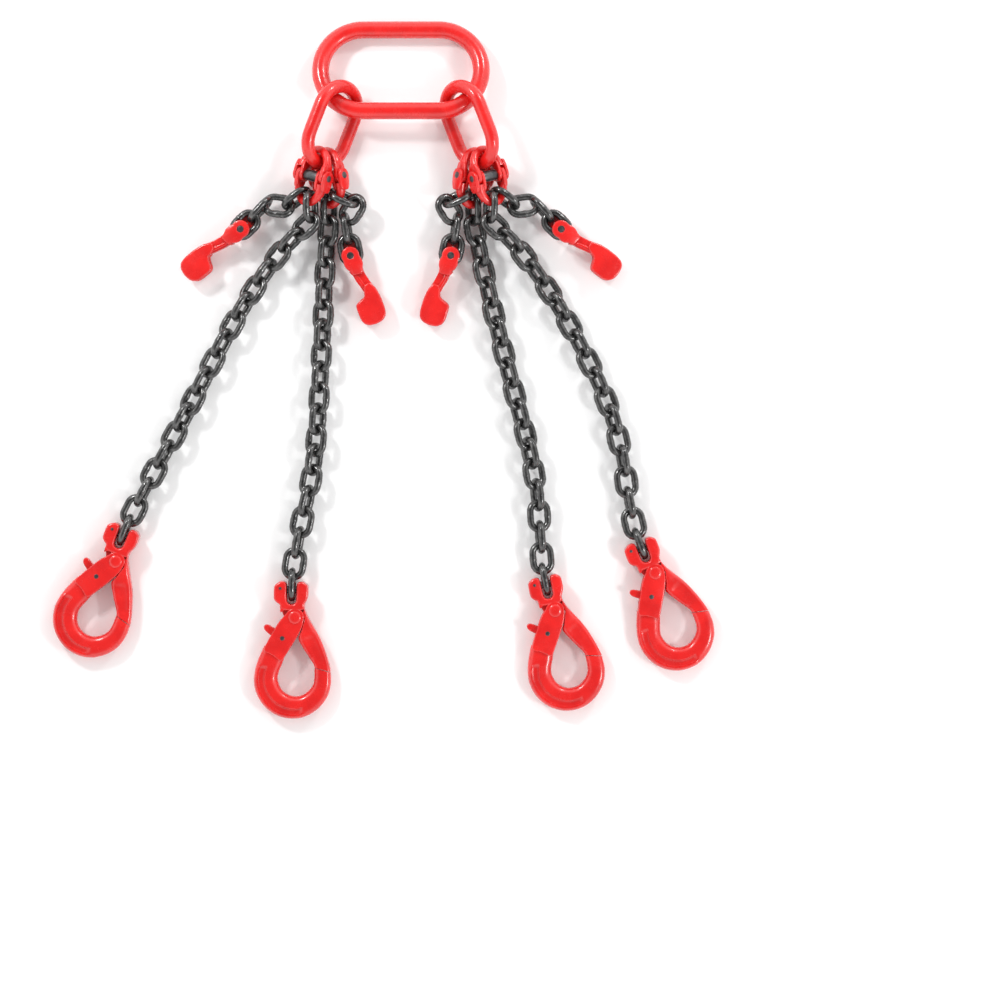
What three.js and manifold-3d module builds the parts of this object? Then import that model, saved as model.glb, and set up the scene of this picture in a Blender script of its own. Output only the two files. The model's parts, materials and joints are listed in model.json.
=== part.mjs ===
// A four leg chain sling laid out flat on the ground, in millimetres, +Z up.
// One oblong master link carries two intermediate links. Each of those carries two coupling links,
// and each coupling link carries a leg chain with a self-locking clevis hook and a short chain with
// a clevis chain shortener. The lengthwise direction of every piece is its own local -Y.
import * as THREE from 'three';
import { mergeVertices } from 'three/addons/utils/BufferGeometryUtils.js';
import Module from 'manifold-3d';

const wasm = await Module();
wasm.setup();

// ---- driving dimensions ----
const WIRE = 4;                       // radius of the chain wire, an 8 mm chain
const PITCH = 24;                     // inside length of a chain link
const LINK_HALF_WIDTH = 10.5;         // from a link's middle to its wire's centre line
const FACETED = 1.1;                  // a six-sided wire this much bigger has a round one's section
const JOINED_PITCH = PITCH + 0.8;     // links of one stretch are joined where they bear on each other
const SLACK = 1.4;                    // play where a link hangs on a bar or a pin
const GAP = 0.5;                      // clearance between pieces that fit over each other
const MASTER = { wire: 10, straight: 88, bend: 50 };
const INTERMEDIATE = { wire: 7.8, straight: 34, bend: 30 };
const LEG_LINKS = [6, 6, 7];          // links in the upper, middle and lower stretch of a leg
const SHORT_LINKS = 4;
const GROUND = WIRE * FACETED + LINK_HALF_WIDTH; // height of a chain's axis over the ground at the hooks

const rad = THREE.MathUtils.degToRad;
const paint = new THREE.MeshStandardMaterial({ color: 0xd8202a, roughness: 0.3, metalness: 0.0 });
const steel = new THREE.MeshStandardMaterial({ color: 0x4a4b4c, roughness: 0.35, metalness: 0.9 });
const pinSteel = new THREE.MeshStandardMaterial({ color: 0x3a3c3d, roughness: 0.4, metalness: 0.9 });

// ---- solids ----
function solid(geometry) {
  const bare = new THREE.BufferGeometry().setIndex(geometry.index);
  bare.setAttribute('position', geometry.getAttribute('position'));
  const merged = mergeVertices(bare, 1e-4);
  return new wasm.Manifold(new wasm.Mesh({
    numProp: 3,
    vertProperties: merged.attributes.position.array,
    triVerts: new Uint32Array(merged.index.array),
  }));
}

function geometryOf(manifold) {
  const mesh = manifold.getMesh();
  const geometry = new THREE.BufferGeometry();
  geometry.setAttribute('position', new THREE.BufferAttribute(new Float32Array(mesh.vertProperties), 3));
  geometry.setIndex(new THREE.BufferAttribute(new Uint32Array(mesh.triVerts), 1));
  return geometry;
}

function union(parts) {
  return parts.reduce((all, part) => all.add(part));
}

// A flat plate with this outline, from z = low to z = high.
function plate(outline, low, high, curveSegments = 6) {
  const shape = outline instanceof THREE.Shape ? outline : new THREE.Shape(outline.map(([x, y]) => new THREE.Vector2(x, y)));
  const geometry = new THREE.ExtrudeGeometry(shape, { depth: high - low, bevelEnabled: false, curveSegments });
  return solid(geometry.translate(0, 0, low));
}

// A round bar along one axis, centred on a point.
function bar(axis, radius, length, at = [0, 0, 0], sides = 16) {
  const geometry = new THREE.CylinderGeometry(radius, radius, length, sides);
  if (axis === 'x') geometry.rotateZ(Math.PI / 2);
  if (axis === 'z') geometry.rotateX(Math.PI / 2);
  return solid(geometry.translate(...at));
}

function block(low, high) {
  const size = high.map((value, i) => value - low[i]);
  const geometry = new THREE.BoxGeometry(...size);
  return solid(geometry.translate(...low.map((value, i) => value + size[i] / 2)));
}

// The corners of an oblong link's centre line: two half circles joined by straights along Y.
function oblongCorners({ straight, bend }, bendSteps) {
  return [1, -1].flatMap((end) => Array.from({ length: bendSteps + 1 }, (_, i) => {
    const angle = (Math.PI * i) / bendSteps;
    return new THREE.Vector3(end * bend * Math.cos(angle), end * (straight / 2 + bend * Math.sin(angle)), 0);
  }));
}

// A closed link of wire in the XY plane, mitred at every corner of its centre line.
function oblong(shape, wireSides, bendSteps) {
  const corners = oblongCorners(shape, bendSteps);
  const up = new THREE.Vector3(0, 0, 1);
  const points = corners.flatMap((corner, i) => {
    const before = corner.clone().sub(corners.at(i - 1)).normalize();
    const after = corners[(i + 1) % corners.length].clone().sub(corner).normalize();
    const outward = before.clone().add(after).normalize().cross(up);
    const mitre = shape.wire / Math.sqrt((1 + before.dot(after)) / 2);
    return Array.from({ length: wireSides }, (_, j) => {
      const angle = (2 * Math.PI * j) / wireSides;
      return corner.clone().addScaledVector(outward, mitre * Math.sin(angle)).addScaledVector(up, shape.wire * Math.cos(angle));
    });
  });
  const index = corners.flatMap((_, i) => Array.from({ length: wireSides }, (__, j) => {
    const [a, b] = [i * wireSides, ((i + 1) % corners.length) * wireSides];
    const k = (j + 1) % wireSides;
    return [a + j, a + k, b + j, a + k, b + k, b + j];
  }).flat());
  return new THREE.BufferGeometry().setFromPoints(points).setIndex(index);
}

const BEND_STEPS = 3;                 // facets round each end of a link, the middle one lying across it
const linkShape = {
  wire: WIRE * FACETED,
  straight: PITCH + 2 * WIRE - 2 * LINK_HALF_WIDTH * Math.cos(Math.PI / (2 * BEND_STEPS)),
  bend: LINK_HALF_WIDTH,
};
const linkSolid = solid(oblong(linkShape, 6, BEND_STEPS));

// The attitude of a piece whose -Y runs along a compass heading, falls by a slope and is rolled about itself.
function attitude(heading, roll, fall) {
  return new THREE.Quaternion().setFromEuler(new THREE.Euler(rad(fall), rad(roll), rad(heading + 90), 'ZXY'));
}

// A stretch of chain. The first link hangs on a bar of radius barWire through the point at; every link
// has its own heading and roll and falls towards the height goal. Returns the joined links and the
// centre of the far end's wire.
function chainStretch(at, barWire, headings, rolls, goal) {
  const place = at.clone();
  const links = headings.map((heading, i) => {
    const hold = i === 0 ? barWire + SLACK - PITCH / 2 : PITCH / 2 + WIRE - JOINED_PITCH;
    const reach = PITCH / 2 + WIRE - hold;
    const fall = THREE.MathUtils.clamp(Math.asin(THREE.MathUtils.clamp((place.z - goal) / reach, -1, 1)), -0.2, 0.2);
    const turn = attitude(heading, rolls[i], THREE.MathUtils.radToDeg(fall));
    const centre = new THREE.Vector3(0, hold, 0).applyQuaternion(turn).add(place);
    const matrix = new THREE.Matrix4().compose(centre, turn, new THREE.Vector3(1, 1, 1));
    place.add(new THREE.Vector3(0, -reach, 0).applyQuaternion(turn));
    return linkSolid.transform(matrix.toArray());
  });
  return { geometry: geometryOf(union(links)), end: place };
}

// ---- coupling link: two equal halves on a pin along X through the origin ----
const COUPLING = { bar: 4.8, reach: 31.5, leg: 17.6, lug: 7.9, tongue: 2.6, fork: 6.5, pin: 4 };

class CouplingCurve extends THREE.Curve {
  getPoint(t) {
    const angle = Math.PI * t;
    return new THREE.Vector3(-COUPLING.leg * Math.cos(angle), -7 - (COUPLING.reach - 7) * Math.sin(angle), 0);
  }
}

// The lower half: its fork is at +X, its tongue at -X, and its crown is at -Y.
function couplingHalf() {
  const { bar: wire, leg, lug, tongue, fork, pin } = COUPLING;
  const section = new THREE.Shape().absarc(0, 0, wire, 0, 2 * Math.PI);
  const bow = solid(new THREE.ExtrudeGeometry(section, {
    steps: 6, extrudePath: new CouplingCurve(), bevelEnabled: false, curveSegments: 4,
  }));
  const swing = lug + 0.9;
  const forkLug = bar('x', lug, 2 * fork, [leg, 0, 0], 12).add(block([leg - fork, -14, -5.5], [leg + fork, 0, 5.5]));
  const tongueLug = bar('x', lug, 2 * tongue, [-leg, 0, 0], 12).add(block([-leg - tongue, -14, -5.5], [-leg + tongue, 0, 5.5]));
  const room = bar('x', swing, 2 * (fork + 3), [-leg, 0, 0], 12);
  const forkRoom = bar('x', swing, 2 * (tongue + GAP), [leg, 0, 0], 12);
  return bow.subtract(room).add(tongueLug).add(forkLug).subtract(forkRoom)
    .subtract(bar('x', pin + 0.4, 80, [0, 0, 0], 8));
}

// ---- self-locking hook, flat in XY, hung on a load pin along X through the origin ----
const HOOK = {
  clevis: { left: -21.5, right: 19.3, top: 9.8, bottom: -18.8, half: 11 },
  slot: 5.6,
  loadPin: 4.5,
  hinge: [4.2, -32],
  hub: 10.6,
  web: 4.4,                           // half thickness of the head between the bowl's ears
  ear: 11.6,
  earIn: 4.9,
  thick: 9,
  arm: 8,
  bowlCentre: [2.3, -106],
  bowlOuter: 45.6,
  throatCentre: [6.2, -103.6],
  throat: 21.3,
  split: [[27.6, -90.8], [47, -95.7]],
  triggerPin: [-10, -56.5],
};

const ring = (centre, radius, degrees) => [
  centre[0] + radius * Math.cos(rad(degrees)),
  centre[1] + radius * Math.sin(rad(degrees)),
];

function arcPoints(centre, radius, from, to, steps) {
  return Array.from({ length: steps + 1 }, (_, i) => ring(centre, radius, from + ((to - from) * i) / steps));
}

// The head: clevis, neck, hub and the arm that closes the throat.
function hookHead() {
  const { clevis, slot, loadPin, hinge, hub, web, arm, split, ear } = HOOK;
  const jaw = plate([
    [clevis.left, -1], [clevis.left + 4, clevis.top - 3], [clevis.left + 10, clevis.top],
    [clevis.right - 9, clevis.top], [clevis.right - 2, clevis.top - 5], [clevis.right, -3],
    [clevis.right - 1, clevis.bottom + 5], [clevis.right - 4.5, clevis.bottom],
    [clevis.left + 7, clevis.bottom], [clevis.left + 1, clevis.bottom + 4],
  ].reverse(), -clevis.half, clevis.half);
  const neck = plate([
    [-13.7, -21.8], [-13.4, -17], [14, -17], [14.6, -24], [17.5, -32], [12, -42], [-4, -38], [-7, -30],
  ].reverse(), -web, web);
  const armOutline = [
    [13, -24], [17, -31.5], [24, -40.2], [30.9, -50.3], [37, -62.5], [41.2, -75], [44.8, -86], split[1],
    split[0], [26.8, -86.2], [17, -70.5], [6.4, -56.6], [8.6, -51], [10.9, -46.3],
  ];
  const [dx, dy] = [split[1][0] - split[0][0], split[1][1] - split[0][1]];
  const tipEdge = plate([
    [split[0][0] - 10 * dx, split[0][1] - 10 * dy], [split[1][0] + dx, split[1][1] + dy], [90, -200], [-200, -200],
  ].reverse(), -20, 20);
  const cheekRoom = bar('z', ear + 0.5, 40, [...hinge, 0], 20).add(
    plate([[-30, -20], [16.3, -32.5], [11.5, -46.3], [9, -51.4], [6.6, -57.2], [-30, -57]].reverse(), -20, 20),
  );
  const armRoot = plate(armOutline.slice().reverse(), -web, web);
  const armBody = plate(armOutline.slice().reverse(), -arm, arm).subtract(cheekRoom);
  return union([jaw, neck, bar('z', hub, 2 * web, [...hinge, 0], 20), armRoot, armBody])
    .subtract(tipEdge)
    .subtract(block([-slot, -11.2, -30], [slot, 40, 30]))
    .subtract(bar('z', slot, 60, [0, -11.2, 0], 12))
    .subtract(bar('x', loadPin + 0.4, 80, [0, 0, 0], 12))
    .subtract(bar('z', 6.4, 40, [...hinge, 0], 16));
}

// The bowl: two ears over the head's hub, then the load-bearing round that ends at the split.
function hookBowl() {
  const { clevis, hinge, ear, earIn, thick, bowlCentre, bowlOuter, throatCentre, throat, split, triggerPin } = HOOK;
  const outline = [
    ...arcPoints(hinge, ear, 20, 150, 6),
    [-14.5, -33.5], [-24, -51], [-33, -67], [-39, -80],
    ...arcPoints(bowlCentre, bowlOuter, 165, 370, 16),
    [split[1][0], split[1][1] - GAP], [split[0][0], split[0][1] - GAP],
    ...arcPoints(throatCentre, throat, 0, -222, 12),
    [-1.5, -71], [5.9, -56.8], [8.4, -51], [10.6, -46],
  ];
  const upper = plate([[-60, 0], [40, 0], [40, -30], [10, -57], [-9, -84], [-28, -71.5], [-60, -71.5]].reverse(), -30, 30);
  const ears = plate(outline.slice().reverse(), -clevis.half, clevis.half).intersect(upper);
  const slit = plate([
    [-60, -10], [30, -10], [30, -44], [7.5, -46.8], [0.5, -46.8], [-7.5, -66], [-60, -66],
  ].reverse(), -earIn, earIn);
  return plate(outline.reverse(), -thick, thick).add(ears)
    .subtract(slit)
    .subtract(bar('z', 6.4, 40, [...hinge, 0], 16))
    .subtract(bar('z', 3, 40, [...triggerPin, 0], 12));
}

// The trigger: a lever between the ears whose thumb end stands out of the hook's back.
function hookTrigger() {
  const { triggerPin } = HOOK;
  const [x, y] = triggerPin;
  const lever = plate([
    [x - 4.5, y - 2], [x + 1, y - 5], [x + 5, y], [x + 5, y + 6], [x + 3.4, y + 11.5], [x - 1, y + 12.4],
    [x - 4.5, y + 8], [x - 12, y + 10], [x - 18, y + 15.5], [x - 22.5, y + 14.5], [x - 22, y + 10.5], [x - 15.5, y + 3],
  ].reverse(), -4.2, 4.2);
  return lever.subtract(bar('z', 3, 40, [x, y, 0], 12));
}

// ---- chain shortener, flat in XY, hung on a pin along Z through the origin ----
const SHORTENER = { length: 84, head: 11, ears: 10.8, slot: 6.3, pin: 3.8, neck: 6.5, block: 11, channel: 5.2 };

// hand is 1 where the block reaches out to -X, and -1 where it reaches out to +X.
function shortenerBody(hand) {
  const { head, ears, slot, pin, neck, block: half, channel } = SHORTENER;
  const mirror = (points) => (hand > 0 ? points.slice().reverse() : points.map(([x, y]) => [-x, y]));
  const stem = plate(mirror([
    [-9.5, -17], [9.5, -17], [9.8, -24], [12.8, -34], [16, -48], [16, -60], [-1.5, -60], [-1.5, -48], [-4, -34], [-5.5, -24],
  ]), -neck, neck);
  const cheeks = plate(mirror([
    ...arcPoints([0, 0], head, 195, -15, 12), [10.2, -16], [8.5, -23], [-5.5, -23], [-9.4, -14],
  ]), -ears, ears);
  const claw = plate(mirror([
    [-1.5, -46.5], [-6, -51.5], [-13.5, -55.2], [-14.5, -58], [-13.6, -75], [-11, -81], [-5, -84.5],
    [8, -83.5], [15, -79], [17.2, -72], [16.4, -48], [14, -38],
  ]), -half, half);
  const mouth = block([hand > 0 ? -40 : -6, -120, -channel], [hand > 0 ? 6 : 40, -44, channel]);
  const mouthRound = bar('y', channel, 80, [hand * 6, -84, 0], 12);
  return union([stem, cheeks, claw])
    .subtract(mouth.add(mouthRound))
    .subtract(bar('z', 17.2, 2 * slot, [0, 0, 0], 24))
    .subtract(bar('z', pin + 0.4, 60, [0, 0, 0], 12));
}

// ---- layout ----
const sling = new THREE.Group();

function mesh(name, geometry, material, parent = sling) {
  geometry.computeVertexNormals();
  const made = new THREE.Mesh(geometry, material.clone());
  made.name = name;
  parent.add(made);
  return made;
}

// A group at a point with its own attitude, for one rigid piece or a few that move together.
function lay(at, heading, roll = 0, fall = 0) {
  const group = new THREE.Group();
  group.position.copy(at);
  group.quaternion.copy(attitude(heading, roll, fall));
  sling.add(group);
  group.updateMatrixWorld();
  return group;
}

const pointIn = (group, x, y, z = 0) => group.localToWorld(new THREE.Vector3(x, y, z));

// Reads a list of values as a smooth run of that many steps.
function spread(values, count) {
  return Array.from({ length: count }, (_, i) => {
    const along = (i / Math.max(1, count - 1)) * (values.length - 1);
    const low = Math.floor(along);
    return THREE.MathUtils.lerp(values[low], values[Math.min(low + 1, values.length - 1)], along - low);
  });
}

// The nearest turn, within a quarter either way, that makes a roll equal to another but for half turns.
const nearestTurn = (from, to) => ((((to - from + 90) % 180) + 180) % 180) - 90;

// The master link leans on the two intermediate links; its far side is on the ground.
const MASTER_LEAN = 13;
const MASTER_Y = 268;
const master = new THREE.Group();
master.rotation.set(rad(-MASTER_LEAN), 0, 0);
master.position.set(0, MASTER_Y, MASTER.wire + MASTER.bend * Math.sin(rad(MASTER_LEAN)));
sling.add(master);
master.updateMatrixWorld();
mesh('master_link', oblong(MASTER, 10, 7).rotateZ(Math.PI / 2), paint, master);

// Angles from here on are outward from straight ahead, so the two sides share them.
const SIDES = { left: -1, right: 1 };
const INTERMEDIATE_LAY = { seat: 58, outward: 21, roll: 49 };
const intermediates = {};
for (const [side, sign] of Object.entries(SIDES)) {
  const seat = new THREE.Vector3(Math.sin(rad(90 - INTERMEDIATE_LAY.seat)), -Math.sin(rad(INTERMEDIATE_LAY.seat)), 0);
  const onMaster = seat.multiplyScalar(MASTER.bend);
  onMaster.x = sign * (MASTER.straight / 2 + onMaster.x);
  const group = lay(master.localToWorld(onMaster), -90 + sign * INTERMEDIATE_LAY.outward, -sign * INTERMEDIATE_LAY.roll);
  const drop = MASTER.wire + INTERMEDIATE.wire + 3.5 - INTERMEDIATE.straight / 2 - INTERMEDIATE.bend;
  mesh(`intermediate_link_${side}`, oblong(INTERMEDIATE, 10, 6).translate(0, drop, 0), paint, group);
  intermediates[side] = { group, bendCentre: drop - INTERMEDIATE.straight / 2 };
}

// seat: angle on the intermediate link's lower bend. inner and shortInner: how far inward of the middle
// of the coupling's bend the two chains hang. The hand is the chain shortener's.
const LEGS = [
  {
    side: 'left', seat: -5, outward: 14, roll: 35.7, fall: 1.2, inner: 5.5, legRoll: 63.4, start: -2.9,
    leg: [48, 34, 28, 27, 29, 27], hook: 22, shortInner: -11.7, shortRoll: 65.9, short: [53.2, 97.9, 42.6, 46.2],
    shortener: 50, hand: -1,
  },
  {
    side: 'left', seat: 28, outward: -6.8, roll: 38.2, fall: 0.5, inner: -4.3, legRoll: 57, start: 1,
    leg: [5, 2, 3, 4, 13, 9], hook: 1, shortInner: 13.2, shortRoll: 62.2, short: [-67.7, 32.3, -8.6, -11.8],
    shortener: -20, hand: 1,
  },
  {
    side: 'right', seat: 28, outward: -6.8, roll: 38.2, fall: 0.5, inner: -4.3, legRoll: 57, start: 1,
    leg: [12, 13, 14, 15, 15, 12, 3, 5], hook: 12, shortInner: 13.2, shortRoll: 62.2,
    short: [-67.7, 32.3, -8.6, -11.8], shortener: -16, hand: -1,
  },
  {
    side: 'right', seat: -5, outward: 14, roll: 35.7, fall: 1.2, inner: 5.5, legRoll: 63.4, start: -2.9,
    leg: [48, 37, 31, 28, 24, 15, 7, 14], hook: 21, shortInner: -11.7, shortRoll: 65.9,
    short: [53.2, 97.9, 42.6, 46.2], shortener: 51, hand: 1,
  },
];
const HOOK_FALL = 2.2;
const SHORTENER_FALL = 5;
const SETTLING_LINKS = 6;             // the last links of a leg turn to meet the hook's slot

LEGS.forEach((leg, index) => {
  const n = index + 1;
  const sign = SIDES[leg.side];
  const heading = (outward) => -90 + sign * outward;
  const { group: holder, bendCentre } = intermediates[leg.side];

  const seat = pointIn(
    holder,
    -sign * INTERMEDIATE.bend * Math.sin(rad(leg.seat)),
    bendCentre - INTERMEDIATE.bend * Math.cos(rad(leg.seat)),
  );
  const coupling = lay(seat, heading(leg.outward), sign * leg.roll, leg.fall);
  const toPin = COUPLING.reach - COUPLING.bar - INTERMEDIATE.wire - 2.2;
  const lower = geometryOf(couplingHalf()).rotateY(sign > 0 ? Math.PI : 0);
  mesh(`coupling_upper_half_${n}`, lower.clone().rotateZ(Math.PI).translate(0, -toPin, 0), paint, coupling);
  mesh(`coupling_lower_half_${n}`, lower.clone().translate(0, -toPin, 0), paint, coupling);
  mesh(`coupling_pin_${n}`, geometryOf(bar('x', COUPLING.pin, 45, [0, -toPin, 0], 12)), pinSteel, coupling);

  // the leg's chain and the short chain share the coupling's lower bend, side by side
  const onBend = (inner) => {
    const x = -sign * inner;
    return pointIn(coupling, x, -toPin - 7 - (COUPLING.reach - 7) * Math.sqrt(1 - (x / COUPLING.leg) ** 2));
  };

  const total = LEG_LINKS.reduce((sum, count) => sum + count);
  const headings = [leg.start, ...spread(leg.leg, total - 2), leg.hook].map(heading);
  const settle = nearestTurn(-sign * leg.legRoll + 90 * (total - 1), 90);
  const rolls = headings.map((_, i) => (
    -sign * leg.legRoll + 90 * i + settle * Math.max(0, (i - total + 1 + SETTLING_LINKS) / SETTLING_LINKS)
  ));
  let at = onBend(leg.inner);
  let barWire = COUPLING.bar;
  let first = 0;
  ['upper', 'middle', 'lower'].forEach((part, i) => {
    const last = first + LEG_LINKS[i];
    const { geometry, end } = chainStretch(at, barWire, headings.slice(first, last), rolls.slice(first, last), GROUND);
    mesh(`leg_${n}_chain_${part}`, geometry, steel);
    [at, barWire, first] = [end, WIRE, last];
  });

  const hook = lay(at, heading(leg.hook), 0, HOOK_FALL);
  hook.translateY(WIRE + HOOK.loadPin + SLACK);
  mesh(`hook_head_${n}`, geometryOf(hookHead()), paint, hook);
  mesh(`hook_bowl_${n}`, geometryOf(hookBowl()), paint, hook);
  mesh(`hook_trigger_${n}`, geometryOf(hookTrigger()), paint, hook);
  mesh(`hook_hinge_pin_${n}`, geometryOf(bar('z', 6, 2 * HOOK.clevis.half + 2, [...HOOK.hinge, 0], 12)), paint, hook);
  mesh(`hook_load_pin_${n}`, geometryOf(bar('x', HOOK.loadPin, 37, [-1.1, 0, 0], 12)), pinSteel, hook);

  const shortHeadings = leg.short.map(heading);
  const level = nearestTurn(-sign * leg.shortRoll + 90 * (SHORT_LINKS - 1), 0);
  const shortRolls = leg.short.map((_, i) => -sign * leg.shortRoll + 90 * i + (level * i) / (SHORT_LINKS - 1));
  const pinHeight = SHORTENER.block + SHORTENER.length * Math.sin(rad(SHORTENER_FALL));
  const short = chainStretch(onBend(leg.shortInner), COUPLING.bar, shortHeadings, shortRolls, pinHeight);
  mesh(`short_chain_${n}`, short.geometry, steel);
  const shortener = lay(short.end, heading(leg.shortener), 0, SHORTENER_FALL);
  shortener.translateY(WIRE + SHORTENER.pin + SLACK);
  mesh(`shortener_${n}`, geometryOf(shortenerBody(leg.hand)), paint, shortener);
  mesh(`shortener_pin_${n}`, geometryOf(bar('z', SHORTENER.pin, 19, [0, 0, 0], 12)), pinSteel, shortener);
});

// the origin is on the ground under the middle of the layout
const box = new THREE.Box3().setFromObject(sling, true);
const middle = box.getCenter(new THREE.Vector3());
sling.position.set(-middle.x, -middle.y, -box.min.z);
sling.updateMatrixWorld(true);

export default sling;
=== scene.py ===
"""Looks for the four leg chain sling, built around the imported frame. Sizes are in millimetres."""
import json
import math

import bmesh
import bpy
from mathutils import Euler, Matrix, Vector


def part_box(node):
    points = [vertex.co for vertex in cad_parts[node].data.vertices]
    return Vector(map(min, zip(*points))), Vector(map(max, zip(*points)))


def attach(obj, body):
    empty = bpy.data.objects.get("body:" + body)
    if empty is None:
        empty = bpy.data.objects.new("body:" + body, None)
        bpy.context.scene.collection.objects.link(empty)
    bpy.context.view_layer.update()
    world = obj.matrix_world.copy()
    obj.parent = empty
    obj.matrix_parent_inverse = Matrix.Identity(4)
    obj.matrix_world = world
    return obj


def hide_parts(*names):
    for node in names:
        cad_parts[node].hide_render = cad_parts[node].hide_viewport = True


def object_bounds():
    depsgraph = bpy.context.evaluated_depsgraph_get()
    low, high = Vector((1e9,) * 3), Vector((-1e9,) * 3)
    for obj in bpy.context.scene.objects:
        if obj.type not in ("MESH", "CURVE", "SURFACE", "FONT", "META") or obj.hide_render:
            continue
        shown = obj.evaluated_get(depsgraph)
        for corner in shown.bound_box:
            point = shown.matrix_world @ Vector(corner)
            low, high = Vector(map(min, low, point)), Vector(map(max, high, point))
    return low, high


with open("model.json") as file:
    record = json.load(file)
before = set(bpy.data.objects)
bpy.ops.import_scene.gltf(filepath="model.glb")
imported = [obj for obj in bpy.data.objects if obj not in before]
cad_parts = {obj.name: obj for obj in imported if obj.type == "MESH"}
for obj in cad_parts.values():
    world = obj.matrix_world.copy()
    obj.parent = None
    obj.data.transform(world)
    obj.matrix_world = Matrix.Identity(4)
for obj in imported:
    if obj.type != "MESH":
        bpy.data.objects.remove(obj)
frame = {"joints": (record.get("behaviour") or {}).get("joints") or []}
CAD_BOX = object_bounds()
JOINTS = {joint["name"]: joint for joint in frame["joints"]}
METRES = Matrix.Scale(0.001, 4)
SIDES = {"left": -1, "right": 1}

WIRE = 4.0
PITCH = 24.0
LINK_HALF_WIDTH = 10.5
JOINED_PITCH = PITCH + 0.8
SLACK = 1.4
GROUND = 1.1 * WIRE + LINK_HALF_WIDTH
LEG_LINKS = {"upper": 6, "middle": 6, "lower": 7}
SETTLING_LINKS = 6
MASTER_LEAN = math.radians(13)
MASTER = dict(wire=10.0, straight=88.0, bend=50.0)
INTERMEDIATE = dict(wire=7.8, straight=34.0, bend=30.0)
COUPLING = dict(bar=4.8, reach=31.5, leg=17.6, lug=7.9, tongue=2.6, fork=6.5, pin=4.0)
INTERMEDIATE_HEADING = 21             # degrees outward from straight ahead
INTERMEDIATE_ROLL = 49
SHORTENER_SLOPE = math.radians(5)
SHORTENER_HEIGHT = 11 + 84 * math.sin(SHORTENER_SLOPE)
HINGE = (4.2, -32.0)
TRIGGER_PIN = (-10.0, -56.5)

# Angles are outward from straight ahead, so the two sides share them.
LEGS = [
    dict(side="left", leg_roll=63.4, start=-2.9, leg=[48, 34, 28, 27, 29, 27], hook=22,
         short_roll=65.9, short=[53.2, 97.9, 42.6, 46.2], shortener=50, hand=-1),
    dict(side="left", leg_roll=57, start=1, leg=[5, 2, 3, 4, 13, 9], hook=1,
         short_roll=62.2, short=[-67.7, 32.3, -8.6, -11.8], shortener=-20, hand=1),
    dict(side="right", leg_roll=57, start=1, leg=[12, 13, 14, 15, 15, 12, 3, 5], hook=12,
         short_roll=62.2, short=[-67.7, 32.3, -8.6, -11.8], shortener=-16, hand=-1),
    dict(side="right", leg_roll=63.4, start=-2.9, leg=[48, 37, 31, 28, 24, 15, 7, 14], hook=21,
         short_roll=65.9, short=[53.2, 97.9, 42.6, 46.2], shortener=51, hand=1),
]


# ---- materials ----
def new_material(name):
    material = bpy.data.materials.new(name)
    material.use_nodes = True
    tree = material.node_tree
    return material, tree, tree.nodes["Principled BSDF"], tree.nodes.new("ShaderNodeTexCoord")


def noise_node(tree, coords, scale, detail=4.0, roughness=0.55):
    node = tree.nodes.new("ShaderNodeTexNoise")
    node.inputs["Scale"].default_value = scale
    node.inputs["Detail"].default_value = detail
    node.inputs["Roughness"].default_value = roughness
    tree.links.new(coords.outputs["Object"], node.inputs["Vector"])
    return node


def ramp_node(tree, value, stops):
    node = tree.nodes.new("ShaderNodeValToRGB")
    for _ in stops[2:]:
        node.color_ramp.elements.new(0.5)
    for element, (position, colour) in zip(node.color_ramp.elements, stops):
        element.position = position
        element.color = (*colour, 1) if len(colour) == 3 else (colour[0],) * 3 + (1,)
    tree.links.new(value, node.inputs["Fac"])
    return node


def mix_colour(tree, factor, first, second):
    node = tree.nodes.new("ShaderNodeMix")
    node.data_type = "RGBA"
    tree.links.new(factor, node.inputs["Factor"])
    for socket, value in ((node.inputs[6], first), (node.inputs[7], second)):
        if isinstance(value, tuple):
            socket.default_value = (*value, 1)
        else:
            tree.links.new(value, socket)
    return node.outputs[2]


def bump_chain(tree, shader, layers):
    """Stacks bumps; each layer is a height output, a strength and a depth in metres."""
    previous = None
    for height, strength, depth in layers:
        bump = tree.nodes.new("ShaderNodeBump")
        bump.inputs["Strength"].default_value = strength
        bump.inputs["Distance"].default_value = depth
        tree.links.new(height, bump.inputs["Height"])
        if previous:
            tree.links.new(previous, bump.inputs["Normal"])
        previous = bump.outputs["Normal"]
    tree.links.new(previous, shader.inputs["Normal"])


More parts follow.
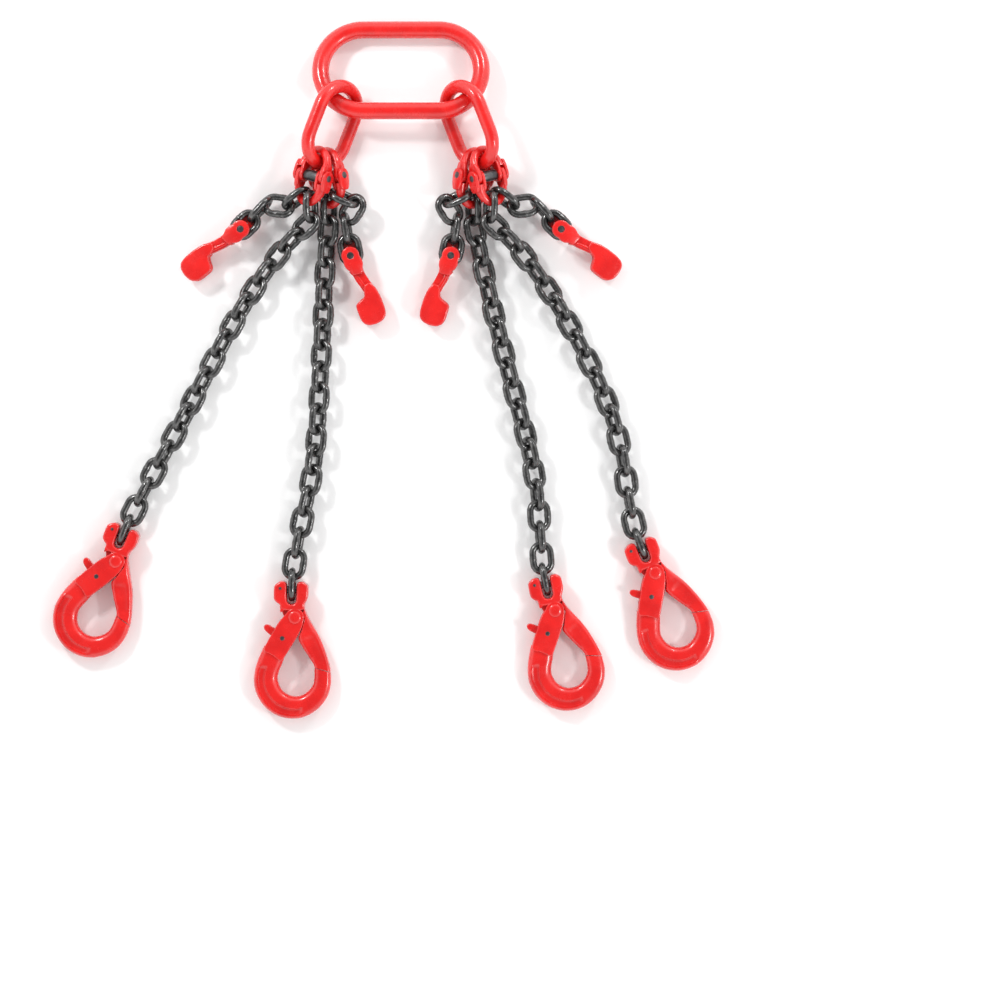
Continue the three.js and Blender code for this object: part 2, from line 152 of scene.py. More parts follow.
def red_paint():
    """Thick gloss paint over a forging: soft unevenness, fine orange peel and a little edge wear."""
    material, tree, shader, coords = new_material("red_paint")
    tone = ramp_node(tree, noise_node(tree, coords, 38).outputs["Fac"],
                     [(0.3, (0.6, 0.008, 0.008)), (0.7, (0.77, 0.015, 0.013))])
    geometry = tree.nodes.new("ShaderNodeNewGeometry")
    edge = ramp_node(tree, geometry.outputs["Pointiness"], [(0.545, (0.0,)), (0.62, (1.0,))])
    breakup = ramp_node(tree, noise_node(tree, coords, 420, 6, 0.7).outputs["Fac"],
                        [(0.56, (0.0,)), (0.68, (1.0,))])
    worn = tree.nodes.new("ShaderNodeMath")
    worn.operation = "MULTIPLY"
    tree.links.new(edge.outputs["Color"], worn.inputs[0])
    tree.links.new(breakup.outputs["Color"], worn.inputs[1])
    tree.links.new(mix_colour(tree, worn.outputs["Value"], tone.outputs["Color"], (0.12, 0.02, 0.018)),
                   shader.inputs["Base Color"])
    gloss = ramp_node(tree, noise_node(tree, coords, 90).outputs["Fac"], [(0.35, (0.2,)), (0.7, (0.32,))])
    tree.links.new(gloss.outputs["Color"], shader.inputs["Roughness"])
    shader.inputs["Coat Weight"].default_value = 0.45
    shader.inputs["Coat Roughness"].default_value = 0.16
    bump_chain(tree, shader, [
        (noise_node(tree, coords, 120, 3).outputs["Fac"], 0.35, 0.0009),
        (noise_node(tree, coords, 900, 2).outputs["Fac"], 0.14, 0.0002),
    ])
    return material


def dark_steel(name, dark, light, rough):
    """Oiled alloy steel with a patchy heat-treated skin."""
    material, tree, shader, coords = new_material(name)
    tone = ramp_node(tree, noise_node(tree, coords, 160, 6, 0.65).outputs["Fac"],
                     [(0.32, dark), (0.72, light)])
    tree.links.new(tone.outputs["Color"], shader.inputs["Base Color"])
    gloss = ramp_node(tree, noise_node(tree, coords, 260, 5).outputs["Fac"],
                      [(0.3, (rough,)), (0.75, (rough + 0.22,))])
    tree.links.new(gloss.outputs["Color"], shader.inputs["Roughness"])
    shader.inputs["Metallic"].default_value = 0.85
    bump_chain(tree, shader, [
        (noise_node(tree, coords, 340, 6, 0.6).outputs["Fac"], 0.3, 0.0005),
        (noise_node(tree, coords, 1700, 3).outputs["Fac"], 0.2, 0.0001),
    ])
    return material


MATERIALS = {
    "red_paint": red_paint(),
    "chain_steel": dark_steel("chain_steel", (0.05, 0.05, 0.052), (0.17, 0.168, 0.165), 0.12),
    "pin_steel": dark_steel("pin_steel", (0.05, 0.05, 0.053), (0.16, 0.16, 0.165), 0.28),
}


# ---- mesh building, in millimetres ----
def loft(rings, closed=False):
    """Joins rings of equally many points; an open loft is capped at both ends."""
    sides = len(rings[0])
    points = [point for ring in rings for point in ring]
    faces = []
    for i in range(len(rings) if closed else len(rings) - 1):
        a, b = i * sides, ((i + 1) % len(rings)) * sides
        faces += [(a + j, a + (j + 1) % sides, b + (j + 1) % sides, b + j) for j in range(sides)]
    if not closed:
        faces += [tuple(range(sides))[::-1], tuple(range(len(points) - sides, len(points)))]
    return points, faces


def oblong_link(wire, straight, bend, bend_steps=18, sides=16, weld=0.0):
    """A closed oblong link in the XY plane; weld swells the middle of one limb."""
    path = []
    for end in (1, -1):
        for i in range(bend_steps + 1):
            angle = math.pi * i / bend_steps
            outward = Vector((end * math.cos(angle), end * math.sin(angle), 0))
            path.append((outward * bend + Vector((0, end * straight / 2, 0)), outward))
        across = Vector((-end, 0, 0))
        path += [(across * bend + Vector((0, end * straight * (0.5 - step), 0)), across)
                 for step in (0.2, 0.35, 0.45, 0.5, 0.55, 0.65, 0.8)]
    rings = []
    for centre, outward in path:
        swell = 1 + (weld * math.exp(-(centre.y / (0.55 * wire)) ** 2) if centre.x < 0 and weld else 0)
        rings.append([centre + swell * wire * (outward * math.cos(a) + Vector((0, 0, math.sin(a))))
                      for a in (2 * math.pi * j / sides for j in range(sides))])
    return loft(rings, closed=True)


def section(outer, inner, half_z, power=2.8, sides=28, recess=0.0):
    """A rounded cross-section that spans two points of the XY plane, at most half_z up and down."""
    outer, inner = Vector((*outer, 0)), Vector((*inner, 0))
    middle, half = (outer + inner) / 2, (outer - inner) / 2
    ring = []
    for j in range(sides):
        angle = 2 * math.pi * j / sides
        c, s = math.cos(angle), math.sin(angle)
        across = math.copysign(abs(c) ** (2 / power), c)
        up = math.copysign(abs(s) ** (2 / power), s)
        dip = recess * max(0.0, 1 - (across / 0.6) ** 4)
        ring.append(middle + half * across + Vector((0, 0, up * (half_z - dip))))
    return ring


def smooth_run(stations, steps):
    """Catmull-Rom values between the stations, each a flat tuple of numbers."""
    last = len(stations) - 1
    run = []
    for i in range(steps + 1):
        along = last * i / steps
        k = min(int(along), last - 1)
        t = along - k
        p0, p1, p2, p3 = (stations[max(0, min(last, k + d))] for d in (-1, 0, 1, 2))
        run.append(tuple(
            0.5 * (2 * b + (c - a) * t + (2 * a - 5 * b + 4 * c - d) * t * t + (3 * b - a - 3 * c + d) * t ** 3)
            for a, b, c, d in zip(p0, p1, p2, p3)))
    return run


def rounded(outline, times=2):
    """Cuts a closed outline's corners."""
    for _ in range(times):
        cut = []
        for i, (x, y) in enumerate(outline):
            nx, ny = outline[(i + 1) % len(outline)]
            cut += [(0.8 * x + 0.2 * nx, 0.8 * y + 0.2 * ny), (0.2 * x + 0.8 * nx, 0.2 * y + 0.8 * ny)]
        outline = cut
    return outline


def slab(outline, low, high, edge=1.5, times=2):
    """A plate with a rounded outline and rounded edges."""
    outline = rounded(outline, times)
    if signed_area(outline) < 0:
        outline = outline[::-1]
    mesh = bmesh.new()
    bottom = mesh.faces.new([mesh.verts.new((x, y, low)) for x, y in outline])
    grown = bmesh.ops.extrude_face_region(mesh, geom=[bottom])
    top = [item for item in grown["geom"] if isinstance(item, bmesh.types.BMVert)]
    bmesh.ops.translate(mesh, vec=(0, 0, high - low), verts=top)
    bmesh.ops.recalc_face_normals(mesh, faces=mesh.faces)
    rim = [e for e in mesh.edges if abs(e.verts[0].co.z - e.verts[1].co.z) < 1e-6]
    bmesh.ops.bevel(mesh, geom=rim, offset=edge, segments=3, profile=0.5, affect="EDGES", clamp_overlap=True)
    return from_bmesh(mesh)


def from_bmesh(mesh):
    mesh.verts.index_update()
    part = [v.co.copy() for v in mesh.verts], [tuple(v.index for v in f.verts) for f in mesh.faces]
    mesh.free()
    return part


def turned(profile, sides=28):
    """A round piece about Z from (radius, height) pairs, bottom to top."""
    return loft([[Vector((r * math.cos(a), r * math.sin(a), z))
                  for a in (2 * math.pi * j / sides for j in range(sides))] for r, z in profile])


def pin_profile(radius, half, edge=0.8):
    return [(radius - edge, -half), (radius - 0.25 * edge, -half + 0.3 * edge), (radius, -half + edge),
            (radius, half - edge), (radius - 0.25 * edge, half - 0.3 * edge), (radius - edge, half)]


def moved(part, matrix):
    """A part with its points moved by a matrix."""
    points, faces = part
    return [matrix @ point for point in points], faces


def at(x, y, z=0.0):
    return Matrix.Translation((x, y, z))


ALONG_X = Matrix.Rotation(math.pi / 2, 4, "Y")
ALONG_Y = Matrix.Rotation(-math.pi / 2, 4, "X")
HALF_TURN_X = Matrix.Rotation(math.pi, 4, "X")
HALF_TURN_Y = Matrix.Rotation(math.pi, 4, "Y")
HALF_TURN_Z = Matrix.Rotation(math.pi, 4, "Z")


def piece(name, parts, place, body, slot, replaces=()):
    """Makes one object from parts in local millimetres, put in place and riding on a body."""
    points, faces = [], []
    for part_points, part_faces in parts:
        first = len(points)
        points += part_points
        faces += [tuple(first + i for i in face) for face in part_faces]
    mesh = bpy.data.meshes.new(name)
    mesh.from_pydata([METRES @ (place @ point) for point in points], [], faces)
    outward = bmesh.new()
    outward.from_mesh(mesh)
    bmesh.ops.recalc_face_normals(outward, faces=outward.faces)
    outward.to_mesh(mesh)
    outward.free()
    mesh.polygons.foreach_set("use_smooth", [True] * len(mesh.polygons))
    mesh.set_sharp_from_angle(angle=math.radians(38))
    mesh.materials.append(MATERIALS[slot])
    made = bpy.data.objects.new(name, mesh)
    bpy.context.scene.collection.objects.link(made)
    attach(made, body)
    if replaces:
        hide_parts(*replaces)
    return made


# ---- placement from the frame's joints ----
def joint_point(name):
    """Where a packed joint is, in millimetres."""
    return Vector(JOINTS[name]["pos_m"]) * 1000


def joint_axis(name):
    return Vector(JOINTS[name]["axis"]).normalized()


def axes_at(origin, x_axis, y_axis):
    """A placement with this origin and X, and Y as near as it can be to the one given."""
    x_axis = x_axis.normalized()
    z_axis = x_axis.cross(y_axis).normalized()
    y_axis = z_axis.cross(x_axis)
    place = Matrix((x_axis, y_axis, z_axis)).transposed().to_4x4()
    place.translation = origin
    return place


def attitude(heading, roll, fall):
    """Local -Y runs along the compass heading, falls by the slope and is rolled about itself."""
    turn = Matrix.Rotation(math.radians(heading + 90), 4, "Z")
    return turn @ Matrix.Rotation(fall, 4, "X") @ Matrix.Rotation(math.radians(roll), 4, "Y")


def spread(values, count):
    """Reads a short list as a run of count values."""
    run = []
    for i in range(count):
        along = i / max(1, count - 1) * (len(values) - 1)
        low = int(along)
        high = min(low + 1, len(values) - 1)
        run.append(values[low] + (values[high] - values[low]) * (along - low))
    return run


def nearest_turn(start, goal):
    """The smallest turn from start to goal or to its opposite, in degrees."""
    return (goal - start + 90) % 180 - 90


def chain(start, bar, headings, rolls, goal):
    """The placements of a stretch's links, as in the frame, and the far end."""
    place, links = start.copy(), []
    for i, (heading, roll) in enumerate(zip(headings, rolls)):
        hold = bar + SLACK - PITCH / 2 if i == 0 else PITCH / 2 + WIRE - JOINED_PITCH
        reach = PITCH / 2 + WIRE - hold
        fall = math.asin(max(-1.0, min(1.0, (place.z - goal) / reach)))
        turn = attitude(heading, roll, max(-0.2, min(0.2, fall)))
        links.append(Matrix.Translation(place + turn @ Vector((0, hold, 0))) @ turn)
        place = place + turn @ Vector((0, -reach, 0))
    return links, place


# ---- parts ----
CHAIN_LINK = oblong_link(WIRE, PITCH + 2 * WIRE - 2 * LINK_HALF_WIDTH, LINK_HALF_WIDTH, 14, 14, weld=0.1)


def coupling_half():
    """Lower half: a forged bow, a single lug at -X and a forked lug at +X."""
    leg, reach, bar = COUPLING["leg"], COUPLING["reach"], COUPLING["bar"]
    rings = []
    for i in range(33):
        angle = math.pi * i / 32
        centre = Vector((-leg * math.cos(angle), -9 - (reach - 9) * math.sin(angle), 0))
        out = Vector((-math.cos(angle) / leg, -math.sin(angle) / (reach - 9), 0)).normalized()
        near_lug = max(0.0, 1 - math.sin(angle) / 0.75) ** 1.5
        flat = bar * (1 + 0.3 * near_lug) if angle > math.pi / 2 else bar * (1 - 0.42 * near_lug)
        tall = bar * (1 + 0.7 * near_lug)
        rings.append([centre + out * flat * math.cos(a) + Vector((0, 0, tall * math.sin(a)))
                      for a in (2 * math.pi * j / 20 for j in range(20))])
    lug, tongue, fork = COUPLING["lug"], COUPLING["tongue"], COUPLING["fork"]
    eye = arc((0, 0), lug + 0.8, -20, 200, 12)
    web = eye + [(-8.2, -7), (-7, -13), (-4.8, -17), (4.8, -17), (7, -13), (8.2, -7)]
    upright = Matrix.Rotation(math.pi / 2, 4, "Y")
    parts = [loft(rings)]
    lugs = ((-leg, -tongue, tongue), (leg, -fork - 0.4, -tongue - 0.5), (leg, tongue + 0.5, fork + 0.4))
    for where, low, high in lugs:
        parts.append(moved(slab(web, low, high, 1.0, 1), at(where, 0) @ upright))
    return parts


def arc(centre, radius, start, end, steps):
    """Points along a circle, angles in degrees."""
    angles = (math.radians(start + (end - start) * i / steps) for i in range(steps + 1))
    return [(centre[0] + radius * math.cos(a), centre[1] + radius * math.sin(a)) for a in angles]


def hook_head():
    """Clevis, neck, hub and the arm that closes the throat."""
    slot_end = arc((0, -11.2), 5.7, 180, 360, 8)
    clevis = [(-20.8, 1), (-20.2, 5.2), (-14, 9.9), (-8.2, 9.8), (-5.8, 7), (-5.7, -7), *slot_end, (5.7, -7),
              (5.8, 7), (8.4, 9.8), (13.4, 9.9), (18.6, 5.8), (19.2, 1), (19.1, -7), (17.6, -12),
              (15, -16.5), (15.2, -24), (-13.2, -24), (-13.4, -17), (-17, -15.2), (-20.4, -11.5), (-20.9, -6)]
    parts = [slab(clevis, -10.9, 10.9, 2.4, 1)]
    stem = [(-13.2, -21), (15.2, -21), (17, -30), (8, -43), (-4, -40), (-9, -31)]
    parts.append(slab(stem, -4.4, 4.4, 0.8, 1))
    for way in (1, -1):
        cheek = [(-13.2, -18.4), (15, -18.4), (15.2, -21.5), (13.6, -22.6), (9, -19.6), (-3, -19.8),
                 (-9, -24), (-12.9, -27)]
        low, high = sorted((way * 4.2, way * 10.6))
        parts.append(slab(cheek, low, high, 1.4, 1))
    arm = [(15.2, -21.5, 12.4, -30, 8.4), (17.2, -26.5, 15.4, -36, 9.6), (19.6, -31.6, 12.9, -43, 10.2),
           (23, -37.4, 10.8, -50, 10), (27, -44, 8.2, -55.6, 9.4), (31.6, -51.6, 9.6, -60.5, 8.8),
           (35.6, -59.6, 13.2, -66.6, 8.5), (39, -68, 17.4, -73.2, 8.3), (42, -76.4, 21.8, -79.6, 8.2),
           (44.6, -84.8, 25.8, -85.6, 8.1), (46.2, -91, 27.5, -89, 8.1), (46.9, -95.1, 27.7, -90.4, 8)]
    run = smooth_run(arm, 48)
    rings = [section((a, b), (c, d), h, 4.2, 32, recess=1.3 * fade(i, 20, 40))
             for i, (a, b, c, d, h) in enumerate(run)]
    parts.append(loft(rings))
    return parts


def fade(i, first, last, soft=3):
    """Rises from 0 at first and falls back to 0 at last, over a few steps."""
    return max(0.0, min(1.0, (i - first) / soft, (last - i) / soft))


def hook_bowl():
    """The load-bearing round with its raised pads, and its two ears."""
    run = smooth_run([
        (-31.5, -66, -4.5, -69, 8.2), (-34.6, -73, -7, -78, 8.6), (-39, -84, -10.5, -88, 8.8),
        (-42.2, -96, -13.6, -96, 9), (-43, -110, -15.1, -104, 9), (-38.8, -125, -12.6, -113.5, 9),
        (-29, -138.8, -7.2, -120.3, 9), (-14, -148.4, -0.2, -124, 9), (2, -151.4, 6.4, -124.9, 9),
        (18, -148.6, 13.8, -123.4, 9), (32.5, -139.4, 21, -118.4, 8.8), (42.8, -126, 26, -111.5, 8.6),
        (47.2, -111, 27.6, -103.5, 8.4), (47.1, -96.1, 27.6, -91.2, 8.2)], 96)
    rings = [panel_section((a, b), (c, d), h, fade(i, 17, 66)) for i, (a, b, c, d, h) in enumerate(run)]
    ear = [*arc(HINGE, 11.2, 10, 160, 10), (-13.5, -36), (-24.4, -55), (-31.6, -69), (-30.4, -72.6),
           (-22, -76), (-12.5, -83.2), (-9.4, -82.2), (-2.2, -70.5), (5.6, -57.6), (9.6, -50), (13.8, -41)]
    parts = [loft(rings)]
    for low, high in ((4.95, 10.9), (-10.9, -4.95)):
        parts.append(slab(ear, low, high, 1.3, 1))
    return parts


def plain_height(across):
    """Height of the rounded section that has no panel, from -1 to 1 across it."""
    return max(0.0, 1 - abs(across) ** 3.2) ** (1 / 2.6)


def panel_section(outer, inner, half_z, depth):
    """A rounded section whose outer side has a sunken panel with a raised rim, on both faces."""
    outer, inner = Vector((*outer, 0)), Vector((*inner, 0))
    middle, half = (outer + inner) / 2, (outer - inner) / 2
    shape = [(1.0, 0.0), (0.985, 0.36), (0.93, 0.68), (0.84, 0.88), (0.77, 0.97), (0.71, 1.0), (0.65, 0.97),
             (0.6, 0.8), (0.52, 0.75), (0.36, 0.74), (0.2, 0.76), (0.11, 0.82), (0.06, 0.99), (-0.01, 1.04),
             (-0.1, 1.02), (-0.34, 0.985), (-0.55, 0.94), (-0.74, 0.82), (-0.88, 0.62), (-0.97, 0.33),
             (-1.0, 0.0)]
    top = [(u, v * depth + plain_height(u) * (1 - depth)) for u, v in shape]
    ring = top + [(u, -v) for u, v in reversed(top[1:-1])]
    return [middle + half * u + Vector((0, 0, v * half_z)) for u, v in ring]


def hook_trigger():
    """The thumb lever that locks the round to the head."""
    x, y = TRIGGER_PIN
    lever = [(-3, -4.4), (2, -4.8), (4.6, 0), (4.6, 6), (3.2, 11.2), (-1, 12.2), (-5, 9.6), (-11, 11.6),
             (-16, 14.8), (-20, 15.6), (-22.4, 13), (-21.6, 9), (-16, 4), (-9, -1)]
    return [slab([(x + a, y + b) for a, b in lever], -4.1, 4.1, 1.2, 1)]


def trigger_spring():
    """A small torsion coil round the trigger pin, between the ears' cheeks."""
    turns, steps = 2, 40
    rings = []
    for i in range(steps + 1):
        angle = 2 * math.pi * turns * i / steps
        outward = Vector((math.cos(angle), math.sin(angle), 0))
        centre = outward * 4.1 + Vector((0, 0, -1.1 + 2.2 * i / steps))
        rings.append([centre + 0.45 * (outward * math.cos(a) + Vector((0, 0, math.sin(a))))
                      for a in (2 * math.pi * j / 8 for j in range(8))])
    return [loft(rings)]


def shortener_body(hand):
    """Fork head, bent neck and the two-walled claw; hand is 1 where the claw reaches out to -X."""
    def flip(points):
        return [(hand * x, y) for x, y in points]
    cheek = [*arc((0, 0), 10.6, -20, 200, 12), (-10.8, -9), (-9.6, -13.5), (-6, -18.5), (-5, -23), (7.4, -24),
             (8.6, -18.5), (11, -13.5), (11.2, -8)]
    hole = arc((0, 0), 4.1, 0, 360, 20)[:-1]
    neck = [(-8.8, -16.8), (9.2, -16.8), (8.4, -23), (10.8, -34), (14.6, -46), (15.4, -58), (4, -62),
            (1.6, -50), (-1.2, -40), (-4.2, -30), (-5.4, -22)]
    rib = [(-4.2, -22), (-0.4, -21.5), (5.6, -42), (8.4, -53), (3.2, -55), (1.2, -42)]
    wall = [(0.5, -45), (-1, -51), (-12.6, -55.6), (-14.6, -59.6), (-14.2, -75), (-12, -80.6), (-6.6, -84.4),
            (2, -85.4), (10.6, -83.6), (15.6, -79), (17.2, -71), (16.8, -56), (15.2, -46), (10.6, -36),
            (2.5, -38)]
    spine = [(5.6, -44), (14, -42), (16.2, -50), (16.8, -72), (14.8, -79), (8.4, -83.2), (5.6, -82)]
    parts = [slab(flip(neck), -6.2, 6.2, 2.0, 2), slab(flip(spine), -8.6, 8.6, 1.2, 1)]
    for way in (1, -1):
        for outline, near, far, edge in ((wall, 5.4, 10.9, 2.0), (rib, 5.6, 8.0, 1.0)):
            low, high = sorted((way * near, way * far))
            parts.append(slab(flip(outline), low, high, edge, 2 if outline is wall else 1))
        face_out = HALF_TURN_X if way < 0 else Matrix.Identity(4)
        parts.append(moved(pierced(flip(cheek), hole, 6.2, 10.8, 1.5), face_out))
    bridge = [(-8.4, -17.4), (8.6, -17.4), (7.8, -23.5), (-5.2, -23.5)]
    parts.append(slab(flip(bridge), -9.2, 9.2, 1.2, 1))
    return parts


def pierced(outline, hole, low, high, edge):
    """A rounded plate with a round hole, on the +Z side."""
    outline = rounded(outline, 1)
    if signed_area(outline) < 0:
        outline = outline[::-1]
    spokes = [math.atan2(y, x) for x, y in outline]
    radius = math.hypot(*hole[0])
    count = len(outline)
    rings = [[(r * math.cos(a), r * math.sin(a), z) for a in spokes]
             for r, z in ((radius, low), (radius, high - 0.6), (radius + 0.7, high))]
    profile = ((edge, high), (0.35 * edge, high - 0.3 * edge), (0, high - edge), (0, low + 0.4), (0.4, low))
    for inset, z in profile:
        ring = []
        for x, y in outline:
            length = math.hypot(x, y)
            ring.append((x * (1 - inset / length), y * (1 - inset / length), z))
        rings.append(ring)
    points = [Vector(point) for ring in rings for point in ring]
    faces = []
    for i in range(len(rings)):
        a, b = i * count, (i + 1) % len(rings) * count
        faces += [(a + j, a + (j + 1) % count, b + (j + 1) % count, b + j) for j in range(count)]
    return points, faces


def signed_area(outline):
    """Positive where the outline runs anticlockwise."""
    return sum(x1 * y2 - x2 * y1 for (x1, y1), (x2, y2) in zip(outline, outline[1:] + outline[:1])) / 2


# ---- assembly ----
def middle_of(node):
    """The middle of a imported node's box, in millimetres."""
    low, high = (Vector(corner) * 1000 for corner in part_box(node))
    return (low + high) / 2


MASTER_MIDDLE = middle_of("master_link")
# how far the layout was raised so that its lowest point meets the ground
LIFT = MASTER_MIDDLE.z - MASTER["wire"] - MASTER["bend"] * math.sin(MASTER_LEAN)


def build_master():
    """The master link lies across the picture and leans on the intermediate links."""
    across = Matrix.Rotation(-math.pi / 2, 4, "Z")
    lean = Matrix.Rotation(-MASTER_LEAN, 4, "X")
    ring = moved(oblong_link(**MASTER, bend_steps=40, sides=28), across)
    piece("master_ring", [ring], Matrix.Translation(MASTER_MIDDLE) @ lean, "master", "red_paint",
          ["master_link"])


def build_intermediate(side, sign):
    turn = attitude(-90 + sign * INTERMEDIATE_HEADING, -sign * INTERMEDIATE_ROLL, 0)
    place = Matrix.Translation(middle_of(f"intermediate_link_{side}")) @ turn
    piece(f"intermediate_ring_{side}", [oblong_link(**INTERMEDIATE, bend_steps=32, sides=24)], place,
          f"intermediate_{side}", "red_paint", [f"intermediate_link_{side}"])


def build_coupling(n, sign):
    """Both halves, their load pin and its sleeve."""
    pin = joint_point(f"coupling_{n}_hinge")
    up = joint_point(f"coupling_{n}_swing") - pin
    place = axes_at(pin, joint_axis(f"coupling_{n}_hinge"), up)
    lower = coupling_half()
    if sign > 0:
        lower = [moved(part, HALF_TURN_Y) for part in lower]
    piece(f"coupling_{n}_lower", lower, place, f"coupling_lower_{n}", "red_paint",
          [f"coupling_lower_half_{n}"])
    piece(f"coupling_{n}_upper", [moved(part, HALF_TURN_Z) for part in lower], place, f"coupling_upper_{n}",
          "red_paint", [f"coupling_upper_half_{n}"])
    piece(f"coupling_{n}_load_pin", [moved(turned(pin_profile(COUPLING["pin"], 24.9)), ALONG_X)], place,
          f"coupling_upper_{n}", "pin_steel", [f"coupling_pin_{n}"])
    sleeve = [(4.2, -10.4), (5.6, -10.2), (6.1, -9.2), (6.3, -4), (6.3, 4), (6.1, 9.2), (5.6, 10.2),
              (4.2, 10.4)]
    piece(f"coupling_{n}_sleeve", [moved(turned(sleeve), ALONG_X)], place, f"coupling_upper_{n}", "pin_steel")


def build_leg_chain(n, leg, sign):
    """The leg's three stretches, alternately rolled, the last links settling flat for the hook."""
    total = sum(LEG_LINKS.values())
    outward = [leg["start"], *spread(leg["leg"], total - 2), leg["hook"]]
    headings = [-90 + sign * angle for angle in outward]
    first_roll = -sign * leg["leg_roll"]
    settle = nearest_turn(first_roll + 90 * (total - 1), 90)
    rolls = [first_roll + 90 * i + settle * max(0, (i - total + 1 + SETTLING_LINKS) / SETTLING_LINKS)
             for i in range(total)]
    first, bar = 0, COUPLING["bar"]
    for stretch, count in LEG_LINKS.items():
        last = first + count
        start = joint_point(f"leg_{n}_{stretch}_{'swing' if stretch == 'upper' else 'bend'}")
        links, _ = chain(start, bar, headings[first:last], rolls[first:last], GROUND + LIFT)
        piece(f"leg_{n}_links_{stretch}", [moved(CHAIN_LINK, link) for link in links], Matrix.Identity(4),
              f"leg_{n}_{stretch}", "chain_steel", [f"leg_{n}_chain_{stretch}"])
        first, bar = last, WIRE


def build_hook(n):
    """One self-locking hook with its pins, rivet and coil."""
    swing = f"hook_{n}_swing"
    towards_chain = -joint_axis(f"hook_{n}_opening").cross(joint_axis(swing))
    place = axes_at(joint_point(swing), joint_axis(swing), towards_chain)
    body, bowl = f"hook_{n}", f"bowl_{n}"
    piece(f"hook_{n}_head_and_arm", hook_head(), place, body, "red_paint", [f"hook_head_{n}"])
    piece(f"hook_{n}_round", hook_bowl(), place, bowl, "red_paint", [f"hook_bowl_{n}"])
    piece(f"hook_{n}_trigger_lever", hook_trigger(), place, f"trigger_{n}", "red_paint",
          [f"hook_trigger_{n}"])
    piece(f"hook_{n}_trigger_coil", trigger_spring(), place @ at(*TRIGGER_PIN, 5.6), bowl, "pin_steel")
    rivet = [(3.4, -12.6), (5.8, -12.2), (7.2, -11.4), (7.4, -10.9), (5.8, -10.8), (5.8, 10.8), (7.4, 10.9),
             (7.2, 11.4), (5.8, 12.2), (3.4, 12.6)]
    piece(f"hook_{n}_rivet", [turned(rivet)], place @ at(*HINGE), body, "red_paint", [f"hook_hinge_pin_{n}"])
    chain_pin = moved(turned(pin_profile(4.4, 18.4, 1)), at(-1.1, 0) @ ALONG_X)
    piece(f"hook_{n}_chain_pin", [chain_pin], place, body, "pin_steel", [f"hook_load_pin_{n}"])
    piece(f"hook_{n}_retaining_pin", [turned(pin_profile(1.7, 11.6, 0.4), 16)], place @ at(-13.3, 2), body,
          "pin_steel")
    piece(f"hook_{n}_trigger_pin", [turned(pin_profile(2.8, 11.1, 0.5), 20)], place @ at(*TRIGGER_PIN), bowl,
          "pin_steel")


def build_short_chain(n, leg, sign):
    """The short chain and the shortener at its end."""
    headings = [-90 + sign * angle for angle in leg["short"]]
    first_roll = -sign * leg["short_roll"]
    level = nearest_turn(first_roll + 90 * (len(headings) - 1), 0)
    rolls = [first_roll + 90 * i + level * i / (len(headings) - 1) for i in range(len(headings))]
    start = joint_point(f"short_chain_{n}_swing")
    links, _ = chain(start, COUPLING["bar"], headings, rolls, SHORTENER_HEIGHT + LIFT)
    piece(f"short_{n}_links", [moved(CHAIN_LINK, link) for link in links], Matrix.Identity(4), f"short_{n}",
          "chain_steel", [f"short_chain_{n}"])
    turn = attitude(-90 + sign * leg["shortener"], 0, SHORTENER_SLOPE)
    place = Matrix.Translation(joint_point(f"shortener_{n}_swing")) @ turn
    body = f"shortener_{n}"
    piece(f"shortener_{n}_claw", shortener_body(leg["hand"]), place, body, "red_paint", [f"shortener_{n}"])
    piece(f"shortener_{n}_chain_pin", [turned(pin_profile(3.9, 9.6, 0.8))], place, body, "pin_steel",
          [f"shortener_pin_{n}"])
    piece(f"shortener_{n}_retaining_pin", [moved(turned(pin_profile(1.2, 5.4, 0.3), 14), ALONG_Y)],
          place @ at(0, 5.6, 8.4), body, "pin_steel")


build_master()
for end, end_sign in SIDES.items():
    build_intermediate(end, end_sign)
for number, leg_spec in enumerate(LEGS, 1):
    way = SIDES[leg_spec["side"]]
    build_coupling(number, way)
    build_leg_chain(number, leg_spec, way)
    build_hook(number)
    build_short_chain(number, leg_spec, way)


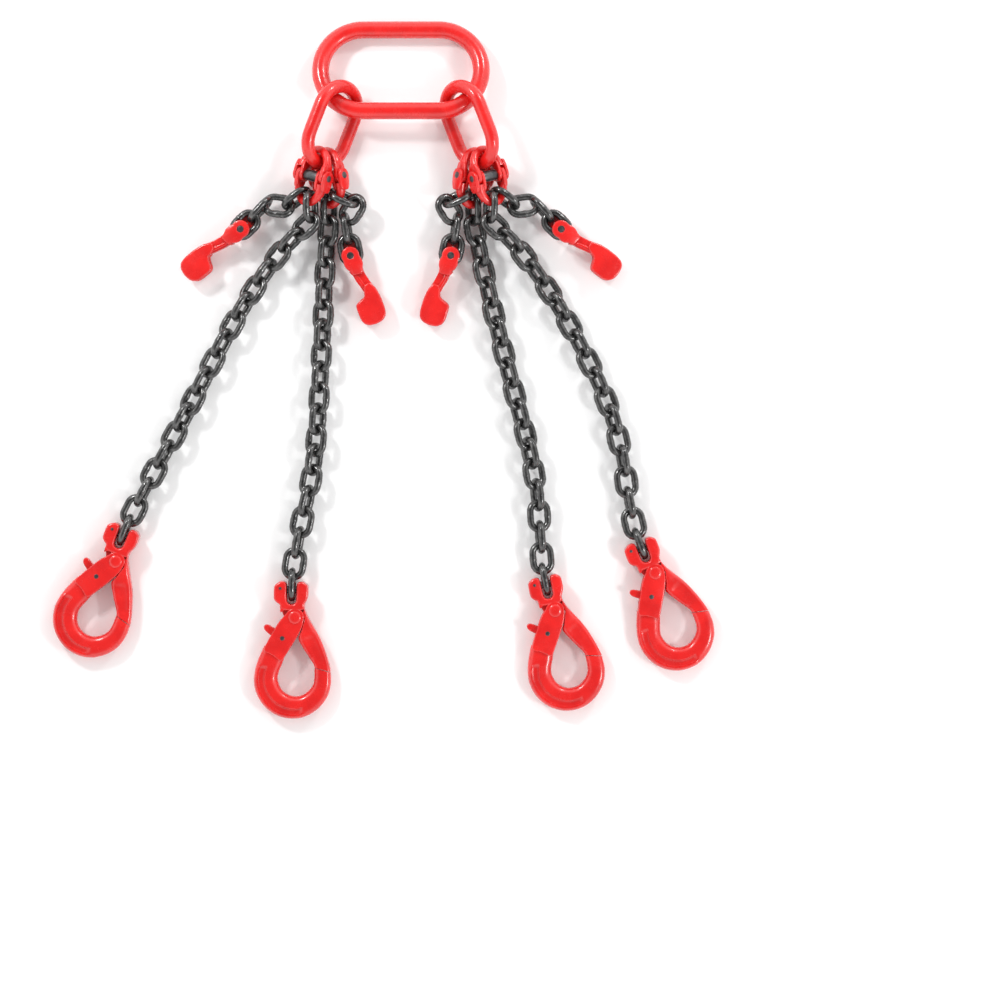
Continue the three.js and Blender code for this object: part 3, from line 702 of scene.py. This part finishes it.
# ---- stage ----
def build_floor():
    """A pale ground just under the sling."""
    mesh = bpy.data.meshes.new("floor")
    half, height = 6, CAD_BOX[0][2] - 0.0004
    corners = [(-half, -half, height), (half, -half, height), (half, half, height), (-half, half, height)]
    mesh.from_pydata(corners, [], [(0, 1, 2, 3)])
    material, tree, shader, coords = new_material("pale_floor")
    tone = ramp_node(tree, noise_node(tree, coords, 3).outputs["Fac"],
                     [(0.3, (0.93, 0.93, 0.93)), (0.7, (0.96, 0.96, 0.96))])
    tree.links.new(tone.outputs["Color"], shader.inputs["Base Color"])
    shader.inputs["Roughness"].default_value = 0.7
    mesh.materials.append(material)
    floor = bpy.data.objects.new("floor", mesh)
    bpy.context.scene.collection.objects.link(floor)


def area_light(name, place, aim, size, power, colour=(1, 1, 1)):
    light = bpy.data.lights.new(name, "AREA")
    light.shape, light.size, light.energy, light.color = "DISK", size, power, colour
    made = bpy.data.objects.new(name, light)
    made.location = place
    made.rotation_euler = (Vector(aim) - Vector(place)).to_track_quat("-Z", "Y").to_euler()
    bpy.context.scene.collection.objects.link(made)


def build_lights():
    """A studio that is dim overhead and bright lower down: flat faces stay deep and edges catch light."""
    world = bpy.data.worlds.new("studio")
    world.use_nodes = True
    tree = world.node_tree
    coords = tree.nodes.new("ShaderNodeTexCoord")
    split = tree.nodes.new("ShaderNodeSeparateXYZ")
    tree.links.new(coords.outputs["Generated"], split.inputs["Vector"])
    band = ramp_node(tree, split.outputs["Z"],
                     [(0.0, (0.9,)), (0.3, (1.1,)), (0.62, (1.15,)), (0.8, (0.5,)), (0.93, (0.16,))])
    tree.links.new(band.outputs["Color"], tree.nodes["Background"].inputs["Color"])
    tree.nodes["Background"].inputs["Strength"].default_value = 1.25
    bpy.context.scene.world = world
    area_light("key", (-1.1, 1.2, 1.5), (0, 0, 0), 0.3, 17)
    area_light("fill", (1.5, -0.7, 1.5), (0, 0, 0), 0.35, 11)
    area_light("edge", (1.0, 1.4, 1.1), (0, 0, 0), 0.25, 8)


def build_camera():
    """Straight down, with the sling in the picture's upper left."""
    height, subject_height = 4.0, 0.02
    view_width = 1.17117
    from_master = Vector((116.415, -503.1, 0)) / 1000
    data = bpy.data.cameras.new("camera")
    camera = bpy.data.objects.new("camera", data)
    camera.location = MASTER_MIDDLE / 1000 + from_master
    camera.location.z = height
    camera.rotation_euler = Euler((0, 0, 0))
    data.angle = 2 * math.atan(view_width / 2 / (height - subject_height))
    data.clip_end = 50
    bpy.context.scene.collection.objects.link(camera)
    bpy.context.scene.camera = camera
    bpy.context.scene.view_settings.view_transform = "Standard"


build_floor()
build_lights()
build_camera()
